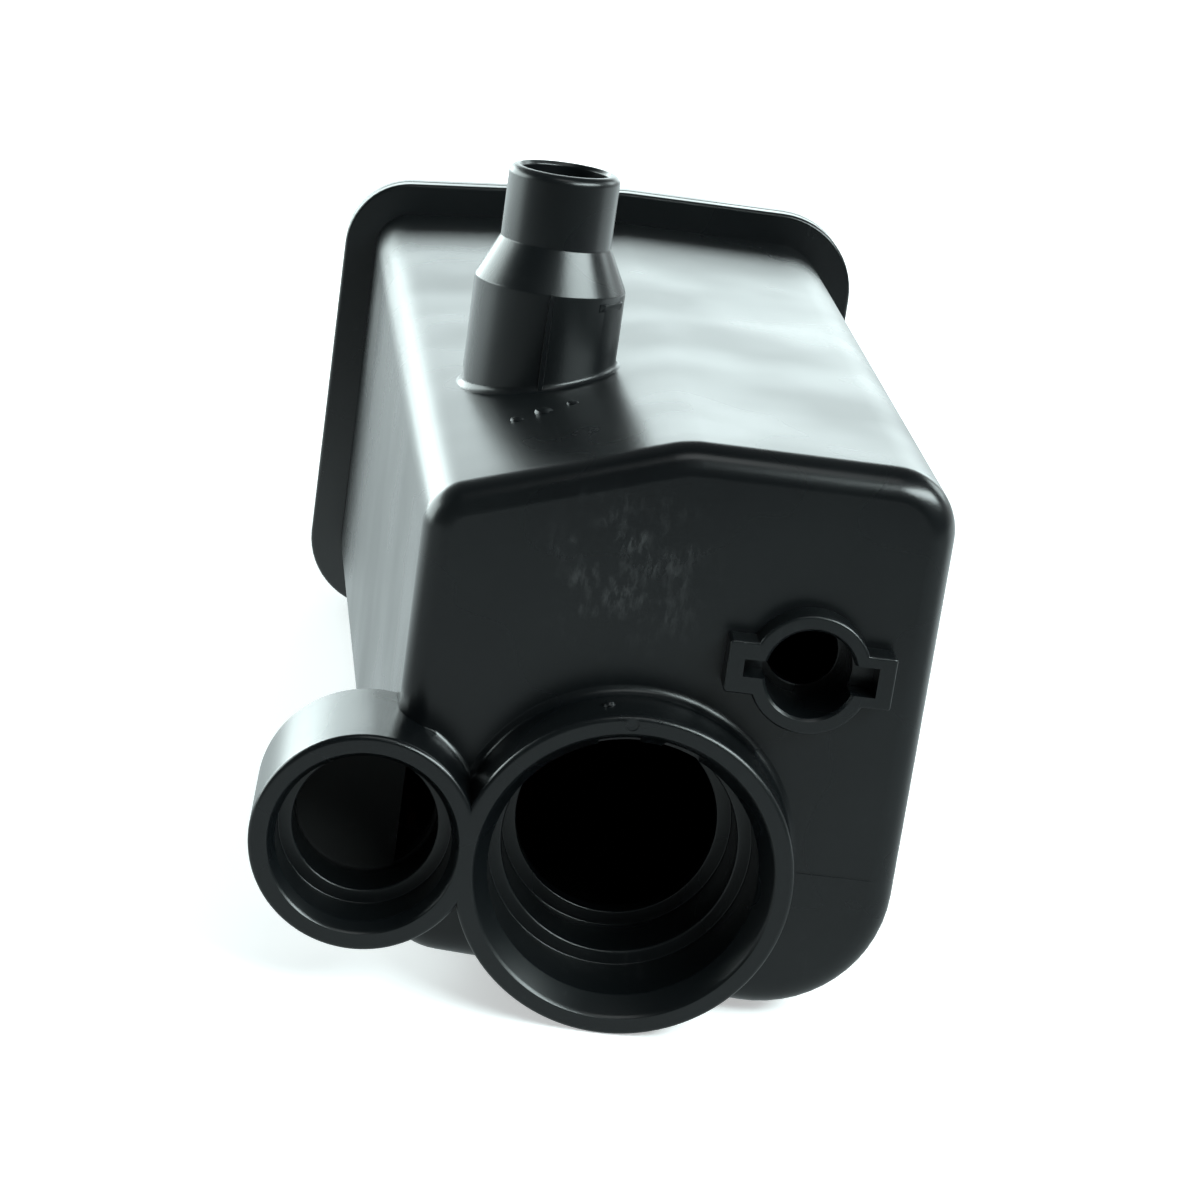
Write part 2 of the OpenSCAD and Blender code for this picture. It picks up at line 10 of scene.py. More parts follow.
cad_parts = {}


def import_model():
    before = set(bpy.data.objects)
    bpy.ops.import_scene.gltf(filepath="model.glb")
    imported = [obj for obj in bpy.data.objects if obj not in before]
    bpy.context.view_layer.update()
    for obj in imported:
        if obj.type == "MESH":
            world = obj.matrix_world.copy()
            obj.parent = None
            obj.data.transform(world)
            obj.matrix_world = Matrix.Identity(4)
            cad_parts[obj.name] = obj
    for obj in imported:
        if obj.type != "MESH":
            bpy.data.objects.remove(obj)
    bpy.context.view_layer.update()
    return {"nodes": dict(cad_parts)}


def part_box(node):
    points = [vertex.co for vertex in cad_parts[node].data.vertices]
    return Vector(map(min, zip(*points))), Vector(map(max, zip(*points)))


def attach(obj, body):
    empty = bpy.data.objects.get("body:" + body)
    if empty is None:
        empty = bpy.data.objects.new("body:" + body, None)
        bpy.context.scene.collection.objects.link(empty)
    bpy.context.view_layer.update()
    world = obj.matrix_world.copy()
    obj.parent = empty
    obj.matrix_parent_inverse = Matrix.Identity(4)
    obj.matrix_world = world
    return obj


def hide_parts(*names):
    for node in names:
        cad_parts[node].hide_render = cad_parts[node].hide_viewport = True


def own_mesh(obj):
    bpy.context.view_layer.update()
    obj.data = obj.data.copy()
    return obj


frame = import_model()
scene = bpy.context.scene
MM = 0.001

# Camera

# Focal length and side of the frame, in pixels, and where the camera stands. Its turns are in
# radians.
FOCAL = 2999.81
SIDE = 1200
CAMERA_AT = Vector((-48.535, -459.964, 179.706)) * MM
camera_data = bpy.data.cameras.new("camera")
camera_data.sensor_width = 36
camera_data.lens = FOCAL / SIDE * 36
camera_data.clip_start = 0.01
camera_data.clip_end = 20
camera = bpy.data.objects.new("camera", camera_data)
scene.collection.objects.link(camera)
yaw, pitch, roll = 0.08315, 0.2831, -0.14479
forward = Vector((sin(yaw) * cos(pitch), cos(yaw) * cos(pitch), -sin(pitch)))
level = Vector((cos(yaw), -sin(yaw), 0))
down = forward.cross(level)
right = cos(roll) * level + sin(roll) * down
down = -sin(roll) * level + cos(roll) * down
turned = Matrix((right, -down, -forward)).transposed()
camera.matrix_world = Matrix.Translation(CAMERA_AT) @ turned.to_4x4()
scene.camera = camera

# Sizes, the same as in the solids. Places along Y count from the sockets' rims, which lie at
# MOUTH. Pairs are places across and up, or for NECK across and along.

MOUTH = -4
STAND_OFF = 12
LOWER_L = 213.6
FLANGE_Y = STAND_OFF + LOWER_L
FLANGE_T = 4
WELD_Y = FLANGE_Y + FLANGE_T
UPPER_Y = WELD_Y + FLANGE_T
UPPER_L = 70
END_Y = WELD_Y + UPPER_L
FILLER_H = 22
RIM_Y = END_Y + FILLER_H
LEDGE_Y = END_Y - 14
TOP_Z = 70.5
WALL = 2.6
FACE_EDGE = 5
END_EDGE = 9
LIP = 7
RIDGE_X = 1.3
RIDGE_R = 20
LEFT = -39.8
RIGHT = 47.3
LEFT_DRAFT = 3.9
RIGHT_DRAFT = 0.3
BACK_LEFT = LEFT - LOWER_L * tan(radians(LEFT_DRAFT))
BACK_RIGHT = RIGHT + LOWER_L * tan(radians(RIGHT_DRAFT))
BACK_BOTTOM = -21
LARGE = (0, 0)
LARGE_R = 28
LARGE_L = 30.5
SMALL = (-43, 0.7)
SMALL_R = 18.7
SMALL_L = 24
SENSOR = (26, 36.1)
SENSOR_R = 7.5
BOSS_R = 10.2
BOSS_Y = 7
EAR = (13.9, 4.5)
NECK = (-21.2, 78)
NECK_R = 13.7
NECK_Z = 82
STUB_R = 10
STUB_Z = 102.5
NECK_BORE_R = 7.8
FILLER = ((BACK_LEFT + BACK_RIGHT) / 2 - 5, 22)
FILLER_R = 21
SKIRT_R = 24
CAP_R = 29
CAP_LOW = RIM_Y - 19
CAP_CEILING = RIM_Y + 4
CAP_TOP = RIM_Y + 7
PITCH = 6
THREAD_H = 1.7
THREAD_LOW = RIM_Y - 15.5
BLEED = (BACK_RIGHT - 17.4, 41)
BLEED_R = 8.6


# Shapes


def section(left, right, top, bottom, rise, slope, radii):
    """The five corner circles of a cross section, each x, z, radius, in clockwise order."""
    slope = radians(slope)
    tl_x = left + radii[0]
    return [
        (tl_x, top - (RIDGE_X - tl_x) * tan(slope) - radii[0] / cos(slope), radii[0]),
        (RIDGE_X + RIDGE_R * tan(slope / 2), top - RIDGE_R, RIDGE_R),
        (right - radii[1], top - radii[1], radii[1]),
        (right - radii[2], bottom + radii[2], radii[2]),
        (left + radii[3], bottom + rise + radii[3], radii[3]),
    ]


FRONT = section(LEFT, RIGHT, TOP_Z, -25.9, 3, 18, (8, 11, 22, 12))
BACK = section(BACK_LEFT, BACK_RIGHT, TOP_Z, BACK_BOTTOM, 0, 5.2, (8, 11, 17, 10))
END = section(BACK_LEFT + 4, BACK_RIGHT - 4, TOP_Z - 12, BACK_BOTTOM + 4, 0, 5.2, (12, 15, 17, 14))


def between(near, far, t):
    """Corner circles part of the way from one section to another."""
    return [tuple(a + (b - a) * t for a, b in zip(p, q)) for p, q in zip(near, far)]


def outline(circles, grow=0.0, arc=14, flat=10):
    """Points of the belt round the corner circles, in clockwise order."""
    count = len(circles)
    angles = []
    for i, a in enumerate(circles):
        b = circles[(i + 1) % count]
        span = hypot(b[0] - a[0], b[1] - a[1])
        angles.append(atan2(b[1] - a[1], b[0] - a[0]) + pi / 2 + asin((b[2] - a[2]) / span))
    points = []
    for i, (x, z, r) in enumerate(circles):
        begin, end = angles[i - 1], angles[i]
        while end > begin:
            end -= 2 * pi
        while end < begin - 2 * pi:
            end += 2 * pi
        for k in range(arc + 1):
            a = begin + (end - begin) * k / arc
            points.append((x + (r + grow) * cos(a), z + (r + grow) * sin(a)))
        nx, nz, nr = circles[(i + 1) % count]
        first = points[-1]
        last = (nx + (nr + grow) * cos(end), nz + (nr + grow) * sin(end))
        for k in range(1, flat):
            t = k / flat
            points.append((first[0] + (last[0] - first[0]) * t, first[1] + (last[1] - first[1]) * t))
    return points


def ring_at(circles, y, grow=0.0):
    return [(x, y, z) for x, z in outline(circles, grow)]


def solid(name, verts, faces):
    """Closed mesh from points in millimetres, with its normals outwards."""
    mesh = bpy.data.meshes.new(name)
    mesh.from_pydata([Vector((x, y + MOUTH, z)) * MM for x, y, z in verts], [], faces)
    bm = bmesh.new()
    bm.from_mesh(mesh)
    bmesh.ops.remove_doubles(bm, verts=bm.verts, dist=1e-7)
    bmesh.ops.recalc_face_normals(bm, faces=bm.faces)
    bm.to_mesh(mesh)
    bm.free()
    obj = bpy.data.objects.new(name, mesh)
    scene.collection.objects.link(obj)
    return obj


def loft(name, rings, closed=False):
    """Skin over rings of as many points each, with flat ends or joined end to end."""
    n = len(rings[0])
    verts = [p for ring in rings for p in ring]
    count = len(rings)
    faces = []
    for i in range(count if closed else count - 1):
        a, b = i * n, (i + 1) % count * n
        faces += [(a + j, a + (j + 1) % n, b + (j + 1) % n, b + j) for j in range(n)]
    if not closed:
        faces += [tuple(range(n - 1, -1, -1)), tuple(range((count - 1) * n, count * n))]
    return solid(name, verts, faces)


def turn(name, at, profile, steps=144, along="y"):
    """Solid of revolution about an axis through at, from points of radius and height."""
    verts, rows = [], []
    for r, h in profile:
        row = []
        for k in range(1 if r < 1e-6 else steps):
            a = 2 * pi * k / steps
            u, v = r * cos(a), r * sin(a)
            row.append(len(verts))
            if along == "y":
                verts.append((at[0] + u, h, at[1] + v))
            else:
                verts.append((at[0] + u, at[1] + v, h))
        rows.append(row)
    faces = []
    for a, b in zip(rows, rows[1:]):
        if len(a) == 1 and len(b) == 1:
            continue
        for k in range(steps):
            n = (k + 1) % steps
            if len(a) == 1:
                faces.append((a[0], b[n], b[k]))
            elif len(b) == 1:
                faces.append((a[k], a[n], b[0]))
            else:
                faces.append((a[k], a[n], b[n], b[k]))
    return solid(name, verts, faces)


def rounded(path, step=pi / 14):
    """Path of x, y, radius corners, with each corner rounded by its radius."""
    points = []
    for i, (x, y, r) in enumerate(path):
        here = Vector((x, y))
        if r == 0 or i in (0, len(path) - 1):
            points.append((x, y))
            continue
        a = (Vector(path[i - 1][:2]) - here).normalized()
        b = (Vector(path[i + 1][:2]) - here).normalized()
        half = a.angle(b) / 2
        centre = here + (a + b).normalized() * (r / sin(half))
        start = here + a * (r / tan(half)) - centre
        end = here + b * (r / tan(half)) - centre
        sweep = start.angle(end)
        n = max(2, round(sweep / step))
        for k in range(n + 1):
            t = k / n
            p = centre + (start * sin((1 - t) * sweep) + end * sin(t * sweep)) / sin(sweep)
            points.append((p.x, p.y))
    return points


def box(name, lo, hi):
    verts = [(x, y, z) for x in (lo[0], hi[0]) for y in (lo[1], hi[1]) for z in (lo[2], hi[2])]
    return solid(name, verts, [(0, 1, 3, 2), (4, 6, 7, 5), (0, 4, 5, 1), (2, 3, 7, 6), (0, 2, 6, 4), (1, 5, 7, 3)])


def prism(name, points, y1, y2):
    return loft(name, [[(x, y, z) for x, z in points] for y in (y1, y2)])


def arc_points(at, r, begin, end, steps=16):
    """Points on an arc about at, from one angle to another in degrees."""
    turns = [radians(begin + (end - begin) * k / steps) for k in range(steps + 1)]
    return [(at[0] + r * cos(a), at[1] + r * sin(a)) for a in turns]


def plate(name, circles, y1, y2, edge, steps=4):
    """Plate of a belt outline from y1 to y2, whose edge at y1 is rounded."""
    rings = []
    for k in range(steps + 1):
        a = pi / 2 * k / steps
        rings.append(ring_at(circles, y1 + edge * (1 - cos(a)), -edge * (1 - sin(a))))
    rings.append(ring_at(circles, y2))
    return loft(name, rings)


def corners(x1, x2, z1, z2, r):
    return [(x1 + r, z2 - r, r), (x2 - r, z2 - r, r), (x2 - r, z1 + r, r), (x1 + r, z1 + r, r)]


def combine(target, tool, operation):
    """Boolean of two closed meshes. The tool is used up."""
    m = target.modifiers.new("b", "BOOLEAN")
    m.solver = "EXACT"
    m.operation = operation
    m.object = tool
    view = bpy.context.evaluated_depsgraph_get()
    view.update()
    made = bpy.data.meshes.new_from_object(target.evaluated_get(view))
    target.modifiers.remove(m)
    bm = bmesh.new()
    bm.from_mesh(made)
    bmesh.ops.remove_doubles(bm, verts=bm.verts, dist=1e-6)
    bm.to_mesh(made)
    bm.free()
    target.data = made
    bpy.data.objects.remove(tool)
    return target


def fuse(target, *tools):
    for tool in tools:
        combine(target, tool, "UNION")
    return target


def carve(target, *tools):
    for tool in tools:
        combine(target, tool, "DIFFERENCE")
    return target


def smooth(obj, angle=32):
    """Soft shading with edges kept where faces turn by more than the angle."""
    bm = bmesh.new()
    bm.from_mesh(obj.data)
    bmesh.ops.remove_doubles(bm, verts=bm.verts, dist=2e-6)
    bmesh.ops.dissolve_degenerate(bm, edges=bm.edges, dist=1e-6)
    bm.to_mesh(obj.data)
    bm.free()
    obj.data.shade_smooth()
    obj.data.set_sharp_from_angle(angle=radians(angle))
    m = obj.modifiers.new("even", "WEIGHTED_NORMAL")
    m.keep_sharp = True
    m.weight = 60
    return obj


def roof_z(x, y):
    """Height of the lower shell's roof."""
    t = (y - STAND_OFF - FACE_EDGE) / (LOWER_L - FACE_EDGE)
    points = outline(between(FRONT, BACK, t))
    best = -1e9
    for p, q in zip(points, points[1:] + points[:1]):
        if min(p[0], q[0]) <= x <= max(p[0], q[0]) and abs(q[0] - p[0]) > 1e-9:
            best = max(best, p[1] + (q[1] - p[1]) * (x - p[0]) / (q[0] - p[0]))
    return best


def shell_loft(name, near, far, y1, y2, edge, inset, tail, steps):
    """Body from a section with rounded edges at y1 to a plain one at y2, which runs on by tail."""
    inward = 1 if y2 > y1 else -1
    start = y1 + inward * edge
    rings = []
    round_r = edge - inset
    for k in range(9):
        a = pi / 2 * k / 8
        rings.append(ring_at(near, start - inward * round_r * cos(a), -inset - round_r * (1 - sin(a))))
    for k in range(1, steps + 1):
        t = k / steps
        rings.append(ring_at(between(near, far, t), start + (y2 - start) * t, -inset))
    rings.append(ring_at(far, y2 + inward * tail, -inset))
    return loft(name, rings)


def foot(name, at, r, face, sizes, begin=0.0, end=2 * pi, lift=None):
    """Concave strip where a round wall meets a face: sizes gives its radius along the arc."""
    closed = end - begin > 2 * pi - 1e-6
    steps = 120
    rings = []
    for k in range(steps if closed else steps + 1):
        t = k / steps
        a = begin + (end - begin) * t
        f = sizes(t)
        arc = [(r + f * (1 - cos(b)), f * (1 - sin(b))) for b in (pi / 2 * i / 7 for i in range(8))]
        path = arc + [(r + f, -1.2), (r - 1.2, -1.2), (r - 1.2, f)]
        if lift is None:
            rings.append([(at[0] + p * cos(a), face + 0.03 - h, at[1] + p * sin(a)) for p, h in path])
        else:
            spots = [(at[0] + p * cos(a), at[1] + p * sin(a), h) for p, h in path]
            rings.append([(x, y, lift(x, y) - 0.04 + h) for x, y, h in spots])
    return loft(name, rings, closed)


def swell(full, ends=0.12):
    """Size that grows in from nothing and out again at the ends of an arc."""
    return lambda t: 0.12 + (full - 0.12) * min(1, t / ends, (1 - t) / ends)


def thread(name, at, r, height, y1, y2, shift=0.0):
    """Ridge of a thread about an axis along Y. A height below zero stands inwards."""
    inward = 1 if height < 0 else -1
    steps = round((y2 - y1) / PITCH * 72)
    rings = []
    for k in range(steps + 1):
        t = k / steps
        y = y1 + (y2 - y1) * t
        a = 2 * pi * (y - shift) / PITCH
        top = r + height * min(1, 0.1 + 9 * t, 0.1 + 9 * (1 - t))
        rings.append([(at[0] + p * sin(a), y + h, at[1] + p * cos(a)) for p, h in (
            (r + 0.6 * inward, -1.25), (r, -1.2), (top, -0.45), (top, 0.45), (r, 1.2), (r + 0.6 * inward, 1.25))])
    return loft(name, rings)


def flange_half(outer):
    """Half of the weld flange, from its outer face to the weld, with both edges rounded."""
    way = 1 if outer < WELD_Y else -1
    rings = [(outer + way * y, LIP - g) for y, g in ((0, 0.8), (0.06, 0.5), (0.23, 0.23), (0.5, 0.06), (0.8, 0))]
    rings += [(WELD_Y - way * y, LIP - g) for y, g in ((0.5, 0), (0.15, 0.15), (0, 0.5))]
    return loft("flange", [ring_at(BACK, y, g) for y, g in sorted(rings)])


# Lower shell

# Gate marks before the hose neck, each x, y, size. The ejector's mark is on the large rim and
# the nub, x, y, on top of its collar.
GATES = ((-25, 47.5, 1.1), (-20.3, 50.5, 1.6), (-15.6, 53.5, 1.0))
EJECTOR = (-2.4, 26.5)
NUB = (-6, 6.1)


def lower_shell():
    shell = shell_loft("tank_lower_shell", FRONT, BACK, STAND_OFF, FLANGE_Y, FACE_EDGE, 0, 2, 30)
    block = turn("block", NECK, rounded([
        (0, 30, 0), (NECK_R, 30, 0), (NECK_R, NECK_Z, 0.8), (STUB_R, 89.5, 0.6), (STUB_R, STUB_Z, 1.5),
        (0, STUB_Z, 0)]), along="z")
    fuse(shell, flange_half(FLANGE_Y), block)
    fuse(shell, foot("neck_foot", NECK, NECK_R, 0, lambda t: 1.3, lift=roof_z))
    seam = loft("seam", [[(NECK[0] - w, NECK[1] - 13.2, z), (NECK[0] - w * 0.5, NECK[1] - NECK_R - h, z),
                          (NECK[0] + w * 0.5, NECK[1] - NECK_R - h, z), (NECK[0] + w, NECK[1] - 13.2, z)]
                         for z, w, h in ((40, 0.7, 0.5), (81, 0.7, 0.5), (82.2, 0.4, 0.1))])
    fuse(shell, seam)
    fuse(shell, loft("ledge", [[(NECK[0] + p * cos(a), NECK[1] + p * sin(a), z) for p, z in (
        (13.2, 79.6), (13.8, 79.6), (NECK_R + h, 80.2), (NECK_R + h, 80.9), (13.2, 81.2))]
        for a, h in ((radians(-50), 0.1), (radians(-46), 0.45), (radians(-24), 0.45), (radians(-20), 0.1))]))
    for x, y, r in GATES:
        z = roof_z(x, y)
        mark = [(0, z - 1), (r * 1.3, z - 1), (r * 1.2, z + 0.05), (r * 0.6, z + 0.38), (0, z + 0.42)]
        fuse(shell, turn("gate", (x, y), mark, 18, along="z"))
    carve(shell, shell_loft("hollow", FRONT, BACK, STAND_OFF, FLANGE_Y, FACE_EDGE, WALL, FLANGE_T + 1, 16))
    fuse(shell,
         turn("large", LARGE, rounded([(0, 0, 0), (LARGE_R, 0, 0.9), (LARGE_R, LARGE_L, 0), (0, LARGE_L, 0)])),
         turn("nub", NUB, [(0, 26), (1.1, 26), (1, 27.6), (0.6, 28), (0, 28.1)], 20, along="z"),
         turn("small", SMALL, rounded([(0, 0, 0), (SMALL_R, 0, 0.9), (SMALL_R, SMALL_L, 0), (0, SMALL_L, 0)])))
    fuse(shell,
         foot("large_foot", LARGE, LARGE_R, STAND_OFF, swell(1.8), radians(-22), radians(200)),
         foot("small_foot", SMALL, SMALL_R, STAND_OFF, swell(1.2), radians(8), radians(66)))
    fuse(shell,
         turn("boss", SENSOR, rounded([
             (0, BOSS_Y, 0), (BOSS_R, BOSS_Y, 0.5), (BOSS_R, BOSS_Y + 17, 0), (0, BOSS_Y + 17, 0)])),
         plate("ears", corners(SENSOR[0] - EAR[0], SENSOR[0] + EAR[0], SENSOR[1] - EAR[1], SENSOR[1] + EAR[1], 0.6),
               BOSS_Y, STAND_OFF + 1.3, 0.4))
    bore = rounded([(0, -1, 0), (25.1, -1, 0), (25.1, -0.02, 0)]) + rounded([
        (24.5, 0.45, 0.3), (22.4, 4, 0.4), (22.4, 16.4, 0.2), (19.9, 16.4, 0.4), (19.9, 27.6, 0.2),
        (17.3, 27.6, 0.3), (17.3, 32, 0), (0, 32, 0)])
    carve(shell, turn("bore", LARGE, bore))
    for a in (99.6, 73.2):
        notch = arc_points(LARGE, 24.0, a - 8.3, a + 8.3) + arc_points(LARGE, 20.5, a + 9.5, a - 9.5)
        carve(shell, prism("notch", notch, 0.93, 5.07))
    small = rounded([(0, -1, 0), (15.8, -1, 0), (15.8, -0.02, 0)]) + rounded([
        (15.3, 0.4, 0.2), (14.4, 2.5, 0.3), (14.4, 10, 0.2), (12, 10, 0.4), (12, 19.4, 0.6), (0, 22.6, 0)])
    carve(shell, turn("bore", SMALL, small))
    carve(shell, prism("pass", arc_points(SMALL, 11.6, -60, 60), 18.47, 25.03))
    carve(shell, turn("bore", SENSOR, rounded([
        (0, 6, 0), (8, 6, 0), (8, BOSS_Y - 0.02, 0), (SENSOR_R, BOSS_Y + 0.5, 0.3), (SENSOR_R, 21, 0), (6, 21, 0.3),
        (6, 36, 0), (0, 36, 0)])))
    for x1, x2, w in ((-11.1, 0, 1.5), (0, 11.1, 2.55)):
        carve(shell, box("slot", (SENSOR[0] + x1, 6, SENSOR[1] - w), (SENSOR[0] + x2, 12.6, SENSOR[1] + w)))
    carve(shell, turn("bore", NECK, rounded([
        (0, 40, 0), (NECK_BORE_R, 40, 0), (NECK_BORE_R, 101.9, 0.5), (8.3, 102.52, 0), (8.3, 104, 0),
        (0, 104, 0)]), along="z"))
    carve(shell,
          box("parting", (28.6, STAND_OFF - 1, -0.22), (43.4, STAND_OFF + 0.13, 0.22)),
          turn("ejector", EJECTOR, [(0, -1), (1.15, -1), (1.1, 0.22), (0, 0.25)], 28))
    return shell


# Upper shell


def upper_shell():
    """The filler neck carries the thread that the cap runs on."""
    shell = shell_loft("tank_upper_shell", END, BACK, END_Y, UPPER_Y, END_EDGE, 0, 2, 12)
    fuse(shell, flange_half(UPPER_Y))
    carve(shell, shell_loft("hollow", END, BACK, END_Y, UPPER_Y, END_EDGE, WALL, FLANGE_T + 1, 12))
    fuse(shell,
         turn("filler", FILLER, rounded([
             (0, LEDGE_Y, 0), (FILLER_R, LEDGE_Y, 0.5), (FILLER_R, RIM_Y, 0.6), (0, RIM_Y, 0)])),
         turn("bleed", BLEED, rounded([
             (0, END_Y - 5.2, 0), (BLEED_R, END_Y - 5.2, 0), (BLEED_R, END_Y + 6, 0.6), (0, END_Y + 6, 0)])))
    carve(shell,
          turn("bore", FILLER, rounded([
              (0, LEDGE_Y - 1, 0), (16, LEDGE_Y - 1, 0), (16, LEDGE_Y + 2, 0), (18, LEDGE_Y + 2, 0.3),
              (18, RIM_Y - 0.6, 0.4), (18.7, RIM_Y + 0.01, 0), (18.7, RIM_Y + 1, 0), (0, RIM_Y + 1, 0)])),
          turn("bore", BLEED, [(0, END_Y - 8), (4.4, END_Y - 8), (4.4, END_Y + 2.7), (6.6, END_Y + 2.7),
                               (6.6, END_Y + 7), (0, END_Y + 7)]))
    fuse(shell, thread("thread", FILLER, FILLER_R, THREAD_H, THREAD_LOW, RIM_Y - 3.5))
    return shell


# Screw cap


def cap():
    """Cup with grip flutes, a dished top and the thread that runs on the filler neck."""
    flutes, fine = 24, 12
    deep = 1.05
    edge = 2.5

    def ring(r, y, depth=0.0):
        turns = [2 * pi * k / (flutes * fine) for k in range(flutes * fine)]
        reach = [r - depth * max(0, cos(flutes * a)) ** 1.5 for a in turns]
        return [(FILLER[0] + q * cos(a), y, FILLER[1] + q * sin(a)) for q, a in zip(reach, turns)]

    rings = [ring(r, y) for r, y in rounded([
        (0.6, CAP_CEILING, 0), (SKIRT_R, CAP_CEILING, 0.8), (SKIRT_R, CAP_LOW + 0.8, 0),
        (SKIRT_R + 0.5, CAP_LOW, 0)])]
    rings += [ring(CAP_R - r, CAP_LOW + y, depth) for r, y, depth in ((1.4, 0, 0.2), (0.5, 0.3, 0.5), (0.1, 1, 0.9))]
    rings += [ring(CAP_R, CAP_LOW + 2 + (CAP_TOP - edge - CAP_LOW - 2) * k / 6, deep) for k in range(7)]
    for k in range(1, 9):
        a = pi / 2 * k / 8
        rings.append(ring(CAP_R - edge * (1 - cos(a)), CAP_TOP - edge * (1 - sin(a)), deep * (1 - k / 8)))
    rings += [ring(r, y) for r, y in rounded([
        (24.5, CAP_TOP, 0), (23.2, CAP_TOP, 0.3), (22.6, CAP_TOP - 0.8, 0.4), (19.4, CAP_TOP - 0.8, 0.4),
        (18.8, CAP_TOP - 0.1, 0.4), (12, CAP_TOP - 0.1, 3), (7, CAP_TOP - 1, 3), (0.6, CAP_TOP - 1, 0)])]
    made = loft("screw_cap", rings)
    return fuse(made, thread("cap_thread", FILLER, SKIRT_R, -THREAD_H, THREAD_LOW, RIM_Y - 5.5, PITCH / 2))


# Springs


def spring(name, cad_node, wire, turns):
    """Coil of round wire in its node's place, with close turns at both ends."""
    lo, hi = ([c / MM for c in corner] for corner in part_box(cad_node))
    x, z, r = (lo[0] + hi[0]) / 2, (lo[2] + hi[2]) / 2, (hi[0] - lo[0]) / 2 - wire
    close, rise = 0.7, 2.1 * wire
    free = turns - 2 * close
    middle = (hi[1] - lo[1] - 2 * wire - 2 * close * rise) / free
    round_wire = [2 * pi * j / 12 for j in range(12)]
    rings = []
    steps = round(turns * 40)
    for k in range(steps + 1):
        t = turns * k / steps
        climb = middle * min(max(t - close, 0), free) + rise * (min(t, close) + max(0, t - close - free))
        y = lo[1] - MOUTH + wire + climb
        a = 2 * pi * t
        rings.append([(x + (r + wire * cos(b)) * cos(a), y + wire * sin(b), z + (r + wire * cos(b)) * sin(a))
                      for b in round_wire])
    return loft(name, rings)


# Materials


def nodes_of(name):
    material = bpy.data.materials.new(name)
    material.use_nodes = True
    tree = material.node_tree
    tree.nodes.clear()
    out = tree.nodes.new("ShaderNodeOutputMaterial")
    shader = tree.nodes.new("ShaderNodeBsdfPrincipled")
    tree.links.new(shader.outputs["BSDF"], out.inputs["Surface"])
    return material, tree, shader


def node(tree, kind, inputs=None, **settings):
    made = tree.nodes.new(kind)
    for key, value in settings.items():
        setattr(made, key, value)
    for key, value in (inputs or {}).items():
        if isinstance(value, bpy.types.NodeSocket):
            tree.links.new(value, made.inputs[key])
        else:
            made.inputs[key].default_value = value
    return made


def place(tree):
    return node(tree, "ShaderNodeTexCoord").outputs["Object"]


def noise(tree, scale, detail=3.0, rough=0.5, stretch=None):
    where = place(tree)
    if stretch:
        where = node(tree, "ShaderNodeMapping", {"Vector": where, "Scale": stretch}).outputs["Vector"]
    return node(tree, "ShaderNodeTexNoise", {"Vector": where, "Scale": scale, "Detail": detail,
                                             "Roughness": rough}).outputs["Fac"]


def spread(tree, value, low, high, from_low=0.35, from_high=0.65):
    return node(tree, "ShaderNodeMapRange", {"Value": value, "From Min": from_low, "From Max": from_high,
                                             "To Min": low, "To Max": high}).outputs["Result"]


def mix(tree, factor, a, b):
    made = node(tree, "ShaderNodeMix", {0: factor}, data_type="RGBA")
    for slot, value in ((6, a), (7, b)):
        if isinstance(value, bpy.types.NodeSocket):
            tree.links.new(value, made.inputs[slot])
        else:
            made.inputs[slot].default_value = value if len(value) == 4 else (*value, 1)
    return made.outputs[2]


def times(tree, *values):
    total = values[0]
    for value in values[1:]:
        total = node(tree, "ShaderNodeMath", {0: total, 1: value}, operation="MULTIPLY").outputs[0]
    return total


def scratches(tree, scale, where):
    """Thin crossing scratches, in the places where the last value lets them show."""
    lines = []
    for turned_by, stretch in (((0.3, 0.5, 0.9), (1, 0.06, 1)), ((1.1, 0.2, 2.3), (1, 1, 0.05))):
        at = node(tree, "ShaderNodeMapping", {"Vector": place(tree), "Rotation": turned_by, "Scale": stretch})
        made = node(tree, "ShaderNodeTexNoise", {"Vector": at.outputs["Vector"], "Scale": scale, "Detail": 2.0})
        lines.append(spread(tree, made.outputs["Fac"], 0, 1, 0.64, 0.7))
    both = node(tree, "ShaderNodeMath", {0: lines[0], 1: lines[1]}, operation="MAXIMUM").outputs[0]
    return times(tree, both, where)


def bumps(tree, shader, *layers):
    """Layers of height, strength in millimetres each, added up into one normal."""
    normal = None
    for height, depth in layers:
        made = node(tree, "ShaderNodeBump", {"Height": height, "Strength": 1.0, "Distance": depth * MM})
        if normal:
            tree.links.new(normal, made.inputs["Normal"])
        normal = made.outputs["Normal"]
    tree.links.new(normal, shader.inputs["Normal"])


def from_axis(tree, x, z):
    """Distance from an axis along Y."""
    at = node(tree, "ShaderNodeVectorMath", {0: place(tree), 1: (x * MM, 0, z * MM)}, operation="SUBTRACT")
    flat = node(tree, "ShaderNodeVectorMath", {0: at.outputs["Vector"], 1: (1, 0, 1)}, operation="MULTIPLY")
    return node(tree, "ShaderNodeVectorMath", {0: flat.outputs["Vector"]}, operation="LENGTH").outputs["Value"]


def matt_end_painted_shade(tree):
    """1 on the small socket's end wall, 0 elsewhere. There the wall is made matt and darkened with painted shade."""
    depth = node(tree, "ShaderNodeSeparateXYZ", {0: place(tree)}).outputs["Y"]
    return times(tree, spread(tree, from_axis(tree, *SMALL), 1, 0, 0.0119, 0.0122),
                 spread(tree, depth, 0, 1, 0.013, 0.0145), spread(tree, depth, 1, 0, 0.0188, 0.0192))


